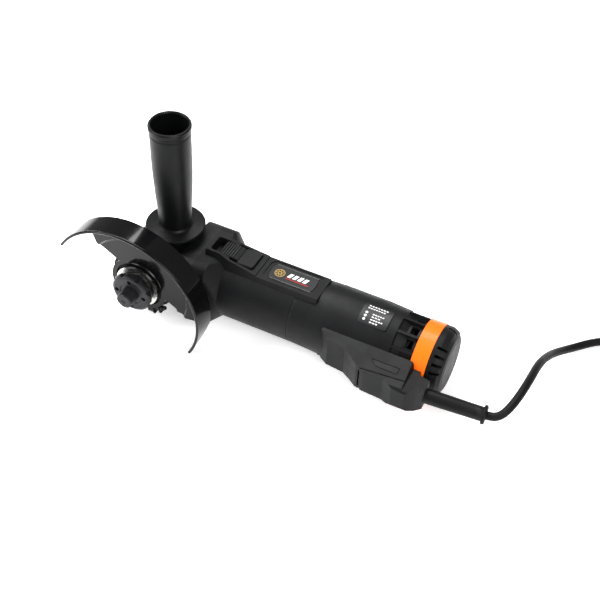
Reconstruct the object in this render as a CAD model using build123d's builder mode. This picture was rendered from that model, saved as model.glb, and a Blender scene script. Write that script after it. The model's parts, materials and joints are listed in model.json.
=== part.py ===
from build123d import *
import os
from math import cos, degrees, pi, radians, sin, sqrt, tan

# Corded angle grinder for 125 mm discs, lying on its side. Millimetres.
# The spindle lies on the Y axis and points to -Y; the origin is where the disc seats.
# The motor axis runs along +X to the tail, MOTOR_Y above the disc seat. +Z is up.

# Layout
MOTOR_Y = 44.0        # disc seat to motor axis
FLOOR_Z = -35.0       # level of the surface the tool lies on
FIT = 0.05            # radial clearance of pieces that seat in each other
GAP = 0.3             # clearance between pieces that only lie side by side
SLACK = 0.4           # clearance round a piece that slides or turns

# Disc guard
GUARD_R = 70.0
GUARD_WALL = 1.5
GUARD_DEPTH = 20.5
GUARD_BACK_Y = 3.0    # back of the guard's outer plate
GUARD_START = -29.6   # arc of the guard, degrees from +X toward +Z
GUARD_ARC = 178.1
GUARD_CHORD = 8.0     # straight plate edge, off the spindle axis
GUARD_STEP_R = 48.0
GUARD_BEAD_R = 1.3
GUARD_TIP = 22.0      # length over which the skirt narrows to its tip
CLAMP_ANGLE = -62.0   # where the clamp band's lugs stand

# Spindle and clamping flanges
SPINDLE_R = 7.0       # M14 thread, major radius
SPINDLE_CORE_R = SPINDLE_R - 0.3     # behind the free end of the thread
SPINDLE_TIP_Y = -20.5
FLANGE_R = 20.0
FLANGE_T = 5.7
SPIGOT_R = 11.1       # 22.2 mm disc bore
SPIGOT_T = 1.6
NUT_R = 18.7
NUT_T = 9.0

# Gear head
HEAD_R = 29.5
HEAD_FACE_Y = 15.0
HEAD_TOP_Y = MOTOR_Y + 27.0
ROOM_END_Y = MOTOR_Y + 6.0            # end of the gear room, seat of the top bush
BUSH_END_Y = ROOM_END_Y + 8.0
BUSH_R = 7.5
HEAD_ROOM_R = 24.05
COVER_T = 4.0
NECK_R = 22.0
NECK_Y = 6.0
JOINT_X = 45.0        # gear head to motor housing
JOINT_HALF = 33.0
JOINT_CORNER = 12.0
JOINT_T = 14.0
SCREW_AT = 25.5
HANDLE_X = 14.0
SOCKET_Z = 40.0       # face of the side handle's socket
SOCKET_R = 4.05       # M8 thread, with the stud's clearance
SOCKET_DEPTH = 14.0
BOSS_R = 11.0

# Gears: teeth converge on the crossing of the motor and spindle axes
WHEEL_TEETH = 38
PINION_TEETH = 11
WHEEL_PITCH_R = 20.0
GEAR_INNER_R = 14.0
TOOTH_UP = 0.85
TOOTH_DOWN = 1.3

# Motor
SHAFT_R = 5.0
FRONT_BEARING = (5.0, 13.0, 8.0)     # bore radius, outer radius, width
REAR_BEARING = (4.0, 11.0, 7.0)
SPINDLE_BEARING = (6.0, 16.0, 10.0)
FAN_R = 25.5
ARMATURE_R = 17.7
STATOR_R = 26.5
STATOR_BORE_R = 18.3
STATOR_X = (72.0, 117.0)
COMMUTATOR_R = 11.5
COMMUTATOR_X = (128.0, 144.0)
SLOTS = 12
BARS = 24

# Housings
BARREL_R = 29.8
BARREL_WALL = 3.0
SEAM_X = 134.0
TONGUE_X = 153.5
TONGUE_HALF_ANGLE = 31.0
SPIGOT_END_X = 159.0
REAR_R = BARREL_R + 1.2
REAR_END_X = 241.5
BAND_X = 254.7
TAIL_X = 268.0
HUMP_HALF = 16.5
RECESS_X = 223.0
RELIEF_R = 6.2
RELIEF_TILT = 4.5
CORD_R = 3.5

# Switch
KNOB_X = (59.5, 92.5)
KNOB_HALF = 7.8       # ribbed front part
KNOB_TOP_Z = BARREL_R + 7.4
THUMB_X = 76.5        # front of the wider thumb pad
THUMB_HALF = 10.0
THUMB_Z = BARREL_R + 4.9
WELL_Z = BARREL_R + 0.2
SWITCH_TRAVEL = 6.0
PLINTH_HALF = 14.6
# stations along X, with the rim's half width and its height over the barrel
PLINTH = ((49.0, 10.2, 8.5), (62.0, 10.4, 8.2), (70.0, 12.0, 6.2), (82.0, 12.6, 4.2), (97.0, 13.4, 2.0))

# Side handle
GRIP_FLANGE_R = 25.2
GRIP_TOP_Z = 146.0
GRIP_BORE_R = 14.8
STUD_R = SOCKET_R - FIT

# Spindle lock
LOCK_X = -11.0
LOCK_PIN_R = 2.0
LOCK_CAP_R = 7.0
LOCK_TRAVEL = 5.0

MOTOR = Plane(origin=(0, MOTOR_Y, 0), x_dir=(1, 0, 0), z_dir=(0, 0, 1))
SPINDLE = Plane(origin=(0, 0, 0), x_dir=(0, 1, 0), z_dir=(0, 0, -1))
HANDLE = Plane(origin=(HANDLE_X, MOTOR_Y, 0), x_dir=(0, 0, 1), z_dir=(0, 1, 0))
LOCK = Plane(origin=(LOCK_X, 0, 0), x_dir=(0, 1, 0), z_dir=(0, 0, -1))
MOTOR_AXIS = Axis(MOTOR.origin, MOTOR.x_dir)

os.makedirs("parts", exist_ok=True)


def save(piece, name):
    piece.part.label = name
    export_step(piece.part, f"parts/{name}.step")


def across(x, y=MOTOR_Y, z=0.0):
    """Plane square to the motor axis: u runs along +Y, v along +Z, extrusions along +X."""
    return Plane(origin=(x, y, z), x_dir=(0, 1, 0), z_dir=(1, 0, 0))


def facing_disc(y, x=0.0, z=0.0):
    """Plane square to the spindle: u runs along +X, v along +Z, extrusions along -Y."""
    return Plane(origin=(x, y, z), x_dir=(1, 0, 0), z_dir=(0, -1, 0))


def level(z, x=0.0, y=MOTOR_Y):
    """Horizontal plane: u runs along +X, v along +Y, extrusions go up."""
    return Plane(origin=(x, y, z))


def turned(points, about, arc=360):
    """Solid of revolution; points are (along, radius) pairs on the axis plane."""
    with BuildPart() as piece:
        with BuildSketch(about):
            with BuildLine():
                Polyline(*points, close=True)
            make_face()
        revolve(axis=Axis(about.origin, about.x_dir), revolution_arc=arc)
    return piece


def ring(start, end, r_in, r_out, about):
    return turned([(start, r_in), (start, r_out), (end, r_out), (end, r_in)], about)


def rod(start, end, radius, about):
    return turned([(start, 0), (start, radius), (end, radius), (end, 0)], about)


def spring(about, start, length, coil_r, wire_r, turns):
    """Compression spring along the plane's x direction."""
    base = about.from_local_coords((start, 0, 0))
    with BuildPart() as piece:
        with BuildLine():
            path = Helix(
                pitch=length / turns, height=length, radius=coil_r, center=base, direction=about.x_dir,
            )
        with BuildSketch(Plane(origin=path @ 0, z_dir=path % 0)):
            Circle(wire_r)
        sweep(path=path)
    return piece


def ball_bearing(start, size, about):
    """Inner and outer ring with a shield between them, as one sealed bearing."""
    bore, outer, width = size
    wall = (outer - bore) * 0.28
    with BuildPart() as piece:
        add(ring(start, start + width, bore + FIT, bore + wall, about).part)
        add(ring(start, start + width, outer - wall, outer, about).part)
        add(ring(start + 0.6, start + width - 0.6, bore + wall / 2, outer - wall / 2, about).part)
    return piece


def screws(places, radius, head_r, head_t, length):
    """Group of cap screws with a cross slot; each place is a plane whose z runs into the work."""
    with BuildPart() as group:
        for place in places:
            with BuildSketch(place.offset(-head_t)):
                Circle(head_r)
            extrude(amount=head_t)
            with BuildSketch(place):
                Circle(radius)
            extrude(amount=length)
            with BuildSketch(place.offset(-head_t)):
                Rectangle(head_r * 1.3, head_r * 0.3)
                Rectangle(head_r * 0.3, head_r * 1.3)
            extrude(amount=head_t * 0.5, mode=Mode.SUBTRACT)
    return group


# ---------------------------------------------------------------- gear head
joint_screw_spots = [(u, v) for u in (-SCREW_AT, SCREW_AT) for v in (-SCREW_AT, SCREW_AT)]
cover_screw_r = (HEAD_ROOM_R + HEAD_R) / 2
COVER_SCREW_ANGLES = (45, 135, 225, 315)


def gear_head_housing():
    dome = [
        (HEAD_FACE_Y, 0), (HEAD_FACE_Y, HEAD_R), (HEAD_TOP_Y - 12, HEAD_R),
        (HEAD_TOP_Y - 3, HEAD_R - 6), (HEAD_TOP_Y, HEAD_R - 12), (HEAD_TOP_Y, 0),
    ]
    with BuildPart() as housing:
        add(turned(dome, SPINDLE).part)
        with BuildSketch(across(6)):
            RectangleRounded(54, 54, 18)
        with BuildSketch(across(JOINT_X - JOINT_T)):
            RectangleRounded(2 * (MOTOR_Y - HEAD_FACE_Y), 60, 14)
        loft()
        with BuildSketch(across(JOINT_X - JOINT_T)):
            RectangleRounded(2 * JOINT_HALF, 2 * JOINT_HALF, JOINT_CORNER)
        extrude(amount=JOINT_T)
        boss = [(18, 0), (18, BOSS_R + 4), (30, BOSS_R + 1), (SOCKET_Z, BOSS_R), (SOCKET_Z, 0)]
        add(turned(boss, HANDLE).part)
        add(turned([(-18, 0), (-18, BOSS_R + 4), (FLOOR_Z + 3, BOSS_R + 1), (FLOOR_Z, BOSS_R - 1),
                    (FLOOR_Z, 0)], HANDLE).part)
        room = [
            (HEAD_FACE_Y - 1, 0), (HEAD_FACE_Y - 1, HEAD_ROOM_R),
            (ROOM_END_Y, HEAD_ROOM_R), (ROOM_END_Y, 0),
        ]
        add(turned(room, SPINDLE).part, mode=Mode.SUBTRACT)
        add(rod(ROOM_END_Y - 1, BUSH_END_Y, BUSH_R + FIT, SPINDLE).part, mode=Mode.SUBTRACT)
        bearing_x = JOINT_X - 4 - FRONT_BEARING[2]
        add(rod(10, JOINT_X, 9.5, MOTOR).part, mode=Mode.SUBTRACT)
        add(rod(bearing_x, JOINT_X + 1, FRONT_BEARING[1] + FIT, MOTOR).part, mode=Mode.SUBTRACT)
        add(rod(JOINT_X - 4, JOINT_X + 1, 18, MOTOR).part, mode=Mode.SUBTRACT)
        for z0, z1 in ((SOCKET_Z - SOCKET_DEPTH, SOCKET_Z + 1), (FLOOR_Z - 1, FLOOR_Z + SOCKET_DEPTH - 1)):
            add(rod(z0, z1, SOCKET_R, HANDLE).part, mode=Mode.SUBTRACT)
        add(rod(BUSH_END_Y + 0.2, HEAD_TOP_Y + 1, LOCK_CAP_R + GAP, LOCK).part, mode=Mode.SUBTRACT)
        add(rod(ROOM_END_Y - 1, BUSH_END_Y + 1, LOCK_PIN_R + GAP, LOCK).part, mode=Mode.SUBTRACT)
        with BuildSketch(across(JOINT_X - JOINT_T - 8)):
            with Locations(*joint_screw_spots):
                Circle(5.2)
        extrude(amount=8 + 4, mode=Mode.SUBTRACT)
        with BuildSketch(across(JOINT_X - JOINT_T)):
            with Locations(*joint_screw_spots):
                Circle(2.3)
        extrude(amount=JOINT_T + 1, mode=Mode.SUBTRACT)
        with BuildSketch(facing_disc(HEAD_FACE_Y + 12)):
            with PolarLocations(cover_screw_r, 4, 45):
                Circle(1.6)
        extrude(amount=13, mode=Mode.SUBTRACT)
    return housing


def spindle_cover():
    """Bearing cover: plate, neck for the guard, and the spigot that centres it in the gear head."""
    bearing_y = COVER_BEARING_Y
    with BuildPart() as cover:
        add(rod(HEAD_FACE_Y - COVER_T, HEAD_FACE_Y, HEAD_R, SPINDLE).part)
        add(rod(NECK_Y, HEAD_FACE_Y, NECK_R, SPINDLE).part)
        add(rod(HEAD_FACE_Y, bearing_y + SPINDLE_BEARING[2], HEAD_ROOM_R - FIT, SPINDLE).part)
        add(rod(NECK_Y - 1, HEAD_FACE_Y, SPINDLE_R + 1.0, SPINDLE).part, mode=Mode.SUBTRACT)
        bearing_hole = rod(bearing_y, bearing_y + SPINDLE_BEARING[2] + 1, SPINDLE_BEARING[1] + FIT, SPINDLE)
        add(bearing_hole.part, mode=Mode.SUBTRACT)
        with BuildSketch(facing_disc(HEAD_FACE_Y)):
            with PolarLocations(cover_screw_r, 4, 45):
                Circle(1.8)
        extrude(amount=COVER_T, mode=Mode.SUBTRACT)
        with BuildSketch(facing_disc(HEAD_FACE_Y - COVER_T + 2)):
            with PolarLocations(cover_screw_r, 4, 45):
                Circle(3.3)
        extrude(amount=2.5, mode=Mode.SUBTRACT)
    return cover


COVER_BEARING_Y = HEAD_FACE_Y - 3.0


def cover_screws():
    places = []
    for angle in COVER_SCREW_ANGLES:
        x = cover_screw_r * cos(radians(angle))
        z = cover_screw_r * sin(radians(angle))
        y = HEAD_FACE_Y - COVER_T + 2
        places.append(Plane(origin=(x, y, z), x_dir=(1, 0, 0), z_dir=(0, 1, 0)))
    return screws(places, 1.55, 3.0, 2.0, 13)


def joint_screws():
    places = [across(JOINT_X - JOINT_T + 4, MOTOR_Y + u, v) for u, v in joint_screw_spots]
    return screws(places, 2.25, 4.4, 3.2, 20)


save(gear_head_housing(), "gear_head_housing")
save(spindle_cover(), "spindle_cover")
save(cover_screws(), "spindle_cover_screws")
save(joint_screws(), "gear_head_screws")

# ---------------------------------------------------------------- spindle group
SPINDLE_SEAT_Y = COVER_BEARING_Y
WHEEL_BACK_Y = MOTOR_Y - 11.0
WEB_Y = MOTOR_Y - 7.6
SPINDLE_TOP_Y = BUSH_END_Y - 0.5
LOCK_POCKETS = 7


def spindle():
    r_in = SPINDLE_BEARING[0]
    free_end = -SPIGOT_T - NUT_T - 0.4
    profile = [
        (SPINDLE_TIP_Y, 0), (SPINDLE_TIP_Y, SPINDLE_R - 1.2), (SPINDLE_TIP_Y + 1.2, SPINDLE_R),
        (free_end, SPINDLE_R), (free_end, SPINDLE_CORE_R), (SPINDLE_SEAT_Y, SPINDLE_CORE_R),
        (SPINDLE_SEAT_Y, r_in), (WEB_Y + 1, r_in), (WEB_Y + 1, SHAFT_R),
        (SPINDLE_TOP_Y - 0.8, SHAFT_R), (SPINDLE_TOP_Y, SHAFT_R - 0.8), (SPINDLE_TOP_Y, 0),
    ]
    with BuildPart() as piece:
        add(turned(profile, SPINDLE).part)
        add(turned([(SPINDLE_TIP_Y - 1, 0), (SPINDLE_TIP_Y - 1, 2.6), (SPINDLE_TIP_Y + 2, 1.2),
                    (SPINDLE_TIP_Y + 6, 1.2), (SPINDLE_TIP_Y + 6, 0)], SPINDLE).part, mode=Mode.SUBTRACT)
    return piece


def inner_flange():
    bore = SPINDLE_R + FIT
    return turned([
        (FLANGE_T, bore), (FLANGE_T, 14.5), (3.4, FLANGE_R - 1.2), (2.4, FLANGE_R), (0, FLANGE_R),
        (0, FLANGE_R - 2.5), (0.7, FLANGE_R - 3.2), (0.7, SPIGOT_R + 1.4), (0, SPIGOT_R),
        (-SPIGOT_T, SPIGOT_R), (-SPIGOT_T, bore),
    ], SPINDLE)


def flange_nut():
    """Outer flange nut with a scalloped rim and four pin-spanner holes."""
    back = -SPIGOT_T
    front = back - NUT_T
    bore = SPINDLE_R + FIT
    with BuildPart() as nut:
        add(turned([
            (back, bore), (back, 15.2), (back - 1.2, 16.2), (back - 4.0, NUT_R - 0.3), (back - 5.5, NUT_R),
            (front + 1.6, NUT_R - 0.5), (front + 0.4, NUT_R - 1.9), (front, NUT_R - 3.2), (front, 10.4),
            (front + 0.9, 9.6), (front + 0.9, bore),
        ], SPINDLE).part)
        with BuildSketch(facing_disc(back)):
            with PolarLocations(NUT_R + 3.2, 8, 22.5):
                Circle(4.6)
        extrude(amount=NUT_T, mode=Mode.SUBTRACT)
        with BuildSketch(facing_disc(front + 5)):
            with PolarLocations(13.0, 4):
                Circle(2.0)
        extrude(amount=6, mode=Mode.SUBTRACT)
    return nut


def bevel_section(scale, pitch_at, inner):
    """Tooth outline at one radius, as (height, half thickness) pairs that shrink toward the apex."""
    half = [(-TOOTH_DOWN - inner, 1.05), (-TOOTH_DOWN, 1.05), (TOOTH_UP, 0.36)]
    return [(pitch_at + h * scale, w * scale) for h, w in half]


PINION_PITCH_R = WHEEL_PITCH_R * PINION_TEETH / WHEEL_TEETH


def bevel_wheel():
    pitch_y = -PINION_PITCH_R
    small = GEAR_INNER_R / WHEEL_PITCH_R
    root_out = MOTOR_Y + pitch_y - TOOTH_DOWN
    root_in = MOTOR_Y + (pitch_y - TOOTH_DOWN) * small
    bore = SPINDLE_BEARING[0] + FIT
    with BuildPart() as wheel:
        add(turned([
            (COVER_BEARING_Y + SPINDLE_BEARING[2], bore), (COVER_BEARING_Y + SPINDLE_BEARING[2], 8.0),
            (WHEEL_BACK_Y, 8.0), (WHEEL_BACK_Y, WHEEL_PITCH_R + 0.3), (root_out, WHEEL_PITCH_R + 0.3),
            (root_in, GEAR_INNER_R), (WEB_Y, GEAR_INNER_R - 0.4), (WEB_Y, bore),
        ], SPINDLE).part)
        for n in range(WHEEL_TEETH):
            turn = 360.0 * (n + 0.5) / WHEEL_TEETH
            out_dir = (cos(radians(turn)), 0, sin(radians(turn)))
            for scale in (1.0, small):
                radius = WHEEL_PITCH_R * scale
                origin = (radius * out_dir[0], MOTOR_Y, radius * out_dir[2])
                half = bevel_section(scale, pitch_y * scale, 0.4)
                with BuildSketch(Plane(origin=origin, x_dir=(0, 1, 0), z_dir=out_dir)):
                    with BuildLine():
                        mirrored = [(h, -w) for h, w in reversed(half)]
                        Polyline(*half, *mirrored, close=True)
                    make_face()
            loft()
        with BuildSketch(facing_disc(WEB_Y + 1)):
            with PolarLocations(-LOCK_X, LOCK_POCKETS, 180):
                Circle(LOCK_PIN_R + SLACK)
        extrude(amount=6, mode=Mode.SUBTRACT)
    return wheel


def bevel_pinion():
    small = GEAR_INNER_R / WHEEL_PITCH_R
    root = PINION_PITCH_R - TOOTH_DOWN
    bore = 3.0
    with BuildPart() as pinion:
        add(turned([
            (GEAR_INNER_R, bore + FIT), (GEAR_INNER_R, root * small), (WHEEL_PITCH_R, root),
            (WHEEL_PITCH_R + 1.5, PINION_PITCH_R - 0.3), (WHEEL_PITCH_R + 8, PINION_PITCH_R - 0.3),
            (WHEEL_PITCH_R + 8, bore + FIT),
        ], MOTOR).part)
        for n in range(PINION_TEETH):
            turn = radians(180 + 360.0 * n / PINION_TEETH)
            for scale in (1.0, small):
                half = bevel_section(scale, PINION_PITCH_R * scale, 0.1)
                up = (0, cos(turn), sin(turn))
                place = Plane(origin=(WHEEL_PITCH_R * scale, MOTOR_Y, 0), x_dir=up, z_dir=(1, 0, 0))
                with BuildSketch(place):
                    with BuildLine():
                        mirrored = [(h, -w) for h, w in reversed(half)]
                        Polyline(*half, *mirrored, close=True)
                    make_face()
            loft()
    return pinion


save(spindle(), "spindle")
save(inner_flange(), "inner_flange")
save(flange_nut(), "flange_nut")
save(ball_bearing(COVER_BEARING_Y, SPINDLE_BEARING, SPINDLE), "spindle_bearing")
save(ring(ROOM_END_Y, BUSH_END_Y - 0.2, SHAFT_R + FIT, BUSH_R, SPINDLE), "spindle_top_bush")
save(bevel_wheel(), "bevel_wheel")
save(bevel_pinion(), "bevel_pinion")

# ---------------------------------------------------------------- guard
GUARD_MID = GUARD_START + GUARD_ARC / 2
COLLAR_R = NECK_R + GAP


def around_spindle(angle, radius=0.0, y=0.0):
    """Point at an angle round the spindle, measured from +X toward +Z."""
    return (radius * cos(radians(angle)), y, radius * sin(radians(angle)))


def guard():
    step_y = GUARD_BACK_Y + GUARD_WALL
    front = GUARD_BACK_Y - GUARD_DEPTH
    start = radians(GUARD_START)
    section = Plane(origin=(0, 0, 0), x_dir=(0, 1, 0), z_dir=(sin(start), 0, -cos(start)))
    with BuildPart() as piece:
        with BuildSketch(section):
            with BuildLine():
                Polyline(
                    (step_y, COLLAR_R + 2), (step_y, GUARD_STEP_R - 1), (GUARD_BACK_Y, GUARD_STEP_R + 1),
                    (GUARD_BACK_Y, GUARD_R), (front, GUARD_R), (front, GUARD_R - GUARD_WALL),
                    (GUARD_BACK_Y - GUARD_WALL, GUARD_R - GUARD_WALL),
                    (GUARD_BACK_Y - GUARD_WALL, GUARD_STEP_R),
                    (GUARD_BACK_Y, GUARD_STEP_R - 2), (GUARD_BACK_Y, COLLAR_R + 2), close=True,
                )
            make_face()
            with Locations((front, GUARD_R - GUARD_WALL / 2)):
                Circle(GUARD_BEAD_R)
        revolve(axis=Axis((0, 0, 0), (0, -1, 0)), revolution_arc=GUARD_ARC)
        chord_x = around_spindle(GUARD_MID, 1)
        chord = Plane(origin=(0, step_y + 0.5, 0), x_dir=chord_x, z_dir=(0, -1, 0))
        with BuildSketch(chord):
            Circle(GUARD_R - GUARD_WALL)
            with Locations((GUARD_CHORD + GUARD_R, 0)):
                Rectangle(2 * GUARD_R, 3 * GUARD_R, mode=Mode.SUBTRACT)
        extrude(amount=GUARD_WALL + 2.5, mode=Mode.SUBTRACT)
        trim = degrees(GUARD_TIP / GUARD_R)
        for side in (-1, 1):
            lean = radians(GUARD_ARC / 2 - trim)
            corner = (GUARD_R * cos(lean), side * GUARD_R * sin(lean))
            with BuildSketch(chord):
                with BuildLine():
                    Polyline((GUARD_CHORD - 2, side * GUARD_R * 0.66), corner,
                             (corner[0], side * 1.2 * GUARD_R),
                             (GUARD_CHORD - 2, side * 1.2 * GUARD_R), close=True)
                make_face()
            extrude(amount=GUARD_WALL + 2.5, mode=Mode.SUBTRACT)
        for angle, side in ((GUARD_START, 1), (GUARD_START + GUARD_ARC, -1)):
            along = around_spindle(angle + 90 * side, 1)
            tip = around_spindle(angle, GUARD_R)
            cut = Plane(origin=tip, x_dir=along, z_dir=around_spindle(angle, 1))
            rise = -1 if cut.y_dir.Y < 0 else 1
            with BuildSketch(cut):
                with BuildLine():
                    Polyline((-6, rise * (step_y + 1)), (GUARD_TIP, rise * (step_y + 1)),
                             (GUARD_TIP, rise * (GUARD_BACK_Y - 1)), (GUARD_TIP * 0.55, rise * -6.0),
                             (0, rise * (front + 5)), (-6, rise * (front + 2.5)), close=True)
                make_face()
            extrude(amount=5, both=True, mode=Mode.SUBTRACT)
        add(ring(GUARD_BACK_Y, step_y, COLLAR_R, COLLAR_R + 4, SPINDLE).part)
        add(ring(GUARD_BACK_Y, HEAD_FACE_Y - COVER_T - SLACK, COLLAR_R, COLLAR_R + GUARD_WALL, SPINDLE).part)
    # the slanted trims leave a sliver beside the bead, so only the plate and skirt are kept
    with BuildPart() as whole:
        add(piece.part.solids().sort_by(SortBy.VOLUME)[-1])
    return whole


BAND_IN_R = COLLAR_R + GUARD_WALL + 0.1
LUG_OUT_R = 33.0
LUG_T = 2.0
LUG_SPLIT = 5.0
BAND_BACK_Y = HEAD_FACE_Y - COVER_T - 1.0
BAND_FRONT_Y = GUARD_BACK_Y + GUARD_WALL + 0.3


def clamp_plane(y):
    """Plane square to the spindle whose u axis points out through the clamp lugs."""
    return Plane(origin=(0, y, 0), x_dir=around_spindle(CLAMP_ANGLE, 1), z_dir=(0, -1, 0))


def guard_clamp_band():
    width = BAND_BACK_Y - BAND_FRONT_Y
    with BuildPart() as band:
        with BuildSketch(clamp_plane(BAND_BACK_Y)):
            Circle(BAND_IN_R + GUARD_WALL)
            for side in (-1, 1):
                with Locations(((BAND_IN_R + LUG_OUT_R) / 2 + 0.2, side * (LUG_SPLIT + LUG_T) / 2)):
                    Rectangle(LUG_OUT_R - BAND_IN_R, LUG_T)
            Circle(BAND_IN_R, mode=Mode.SUBTRACT)
            with Locations((BAND_IN_R, 0)):
                Rectangle(8, LUG_SPLIT, mode=Mode.SUBTRACT)
        extrude(amount=width)
        hole = Plane(origin=around_spindle(CLAMP_ANGLE, LUG_OUT_R - 3.2, (BAND_BACK_Y + BAND_FRONT_Y) / 2),
                     z_dir=clamp_plane(0).y_dir)
        with BuildSketch(hole):
            Circle(1.8)
        extrude(amount=LUG_SPLIT, both=True, mode=Mode.SUBTRACT)
    return band


def guard_clamp_screw():
    middle = around_spindle(CLAMP_ANGLE, LUG_OUT_R - 3.2, (BAND_BACK_Y + BAND_FRONT_Y) / 2)
    along = clamp_plane(0).y_dir
    face = LUG_SPLIT / 2 + LUG_T
    with BuildPart() as screw:
        with BuildSketch(Plane(origin=middle, z_dir=along)):
            Circle(1.7)
        extrude(amount=face + 5, both=True)
        with BuildSketch(Plane(origin=middle, z_dir=along).offset(face)):
            Circle(2.4)
        extrude(amount=2.6)
        with BuildSketch(Plane(origin=middle, z_dir=along).offset(-face)):
            RegularPolygon(2.7, 6)
        extrude(amount=-2.4)
    return screw


save(guard(), "guard")
save(guard_clamp_band(), "guard_clamp_band")
save(guard_clamp_screw(), "guard_clamp_screw")

# ---------------------------------------------------------------- spindle lock
BUTTON_Y = (HEAD_TOP_Y - 4.0, HEAD_TOP_Y + 5.0)


def lock_button():
    return turned([
        (BUTTON_Y[0], 0), (BUTTON_Y[0], LOCK_CAP_R), (BUTTON_Y[1] - 1.2, LOCK_CAP_R - 0.2),
        (BUTTON_Y[1], LOCK_CAP_R - 1.4), (BUTTON_Y[1] - 0.6, 0),
    ], LOCK)


save(lock_button(), "lock_button")
save(turned([(WEB_Y + 2.2, 0), (WEB_Y + 2.2, LOCK_PIN_R - 0.4), (WEB_Y + 2.8, LOCK_PIN_R),
             (BUTTON_Y[0], LOCK_PIN_R), (BUTTON_Y[0], 0)], LOCK), "lock_pin")
save(spring(LOCK, BUSH_END_Y + 0.8, BUTTON_Y[0] - BUSH_END_Y - 1.5, 4.6, 0.45, 4), "lock_spring")

# ---------------------------------------------------------------- armature
SHAFT_X = (8.0, 158.5)
FRONT_BEARING_X = JOINT_X - 4 - FRONT_BEARING[2]
REAR_BEARING_X = SPIGOT_END_X - 4 - REAR_BEARING[2]
CORE_X = (STATOR_X[0] + 2, STATOR_X[1] - 2)


def armature_shaft():
    thin = REAR_BEARING[0]
    neck = 3.0
    return turned([
        (SHAFT_X[0], 0), (SHAFT_X[0], neck), (WHEEL_PITCH_R + 8, neck), (WHEEL_PITCH_R + 8, SHAFT_R),
        (REAR_BEARING_X, SHAFT_R), (REAR_BEARING_X, thin), (SHAFT_X[1], thin), (SHAFT_X[1], 0),
    ], MOTOR)


def armature_core():
    with BuildPart() as core:
        with BuildSketch(across(CORE_X[0])):
            Circle(ARMATURE_R)
            Circle(SHAFT_R + FIT, mode=Mode.SUBTRACT)
            with PolarLocations(ARMATURE_R - 4.2, SLOTS):
                SlotOverall(8.0, 3.6, mode=Mode.SUBTRACT)
            with PolarLocations(ARMATURE_R, SLOTS):
                Rectangle(3, 1.4, mode=Mode.SUBTRACT)
        extrude(amount=CORE_X[1] - CORE_X[0])
    return core


def armature_windings():
    with BuildPart() as windings:
        with BuildSketch(across(CORE_X[0] - 1)):
            with PolarLocations(ARMATURE_R - 4.2, SLOTS):
                SlotOverall(7.4, 3.0)
        extrude(amount=CORE_X[1] - CORE_X[0] + 2)
        for x, out in ((CORE_X[0] - 0.2, -1), (CORE_X[1] + 0.2, 1)):
            add(turned([(x, SHAFT_R + 1), (x, ARMATURE_R - 0.8), (x + out * 4, ARMATURE_R - 1.6),
                        (x + out * 7.5, 12.5), (x + out * 8, SHAFT_R + 1)], MOTOR).part)
    return windings


def commutator():
    with BuildPart() as piece:
        start, end = COMMUTATOR_X
        add(turned([(start - 2.5, SHAFT_R + FIT), (start - 2.5, COMMUTATOR_R + 1.8),
                    (start, COMMUTATOR_R + 1.8), (start, COMMUTATOR_R), (end, COMMUTATOR_R),
                    (end, SHAFT_R + FIT)], MOTOR).part)
        with BuildSketch(across(start - 3)):
            with PolarLocations(COMMUTATOR_R + 1.2, BARS):
                Rectangle(3.6, 0.4)
        extrude(amount=end - start + 4, mode=Mode.SUBTRACT)
    return piece


def cooling_fan():
    blades = 14
    with BuildPart() as fan:
        add(turned([(47.5, SHAFT_R + FIT), (47.5, 9), (49, 9.5), (49, FAN_R), (50.6, FAN_R), (50.6, 11),
                    (60, 8.5), (60, SHAFT_R + FIT)], MOTOR).part)
        with BuildSketch(across(50.4)):
            with PolarLocations(FAN_R - 8, blades):
                Rectangle(14.5, 1.6, rotation=18)
        extrude(amount=8)
    return fan


save(armature_shaft(), "armature_shaft")
save(armature_core(), "armature_core")
save(armature_windings(), "armature_windings")
save(commutator(), "commutator")
save(cooling_fan(), "cooling_fan")
save(ball_bearing(FRONT_BEARING_X, FRONT_BEARING, MOTOR), "front_bearing")
save(ball_bearing(REAR_BEARING_X, REAR_BEARING, MOTOR), "rear_bearing")
save(ring(REAR_BEARING_X, REAR_BEARING_X + REAR_BEARING[2], REAR_BEARING[1] + FIT, 12.6, MOTOR),
     "bearing_sleeve")


def pinion_nut():
    with BuildPart() as nut:
        with BuildSketch(across(GEAR_INNER_R - 4)):
            RegularPolygon(4.6, 6)
            Circle(3.0 + FIT, mode=Mode.SUBTRACT)
        extrude(amount=3.4)
        add(ring(GEAR_INNER_R - 0.8, GEAR_INNER_R - FIT, 3.0 + FIT, 3.5, MOTOR).part)
    return nut


def bearing_retainer():
    with BuildPart() as plate:
        with BuildSketch(across(JOINT_X - 4 + 0.1)):
            Circle(17.8)
            Circle(SHAFT_R + 2.5, mode=Mode.SUBTRACT)
            with PolarLocations(15.4, 3, 90):
                Circle(1.5, mode=Mode.SUBTRACT)
        extrude(amount=1.8)
    return plate


save(pinion_nut(), "pinion_nut")
save(bearing_retainer(), "bearing_retainer")

# ---------------------------------------------------------------- stator and motor housing
POLE_HALF_ANGLE = 46.0
YOKE_R = 24.3


def sector(r_in, r_out, half_angle, middle=90.0):
    """Face of a ring between two angles, for use in a sketch."""
    with BuildSketch() as face:
        with BuildLine():
            CenterArc((0, 0), r_out, middle - half_angle, 2 * half_angle)
            CenterArc((0, 0), r_in, middle - half_angle, 2 * half_angle)
            for side in (-1, 1):
                angle = radians(middle + side * half_angle)
                Line((r_in * cos(angle), r_in * sin(angle)), (r_out * cos(angle), r_out * sin(angle)))
        make_face()
    return face.sketch


def stator_core():
    with BuildPart() as core:
        with BuildSketch(across(STATOR_X[0])):
            Circle(STATOR_R)
            Circle(YOKE_R, mode=Mode.SUBTRACT)
            for middle in (90, 270):
                add(sector(STATOR_BORE_R, YOKE_R + 0.5, POLE_HALF_ANGLE, middle))
        extrude(amount=STATOR_X[1] - STATOR_X[0])
    return core


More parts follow.
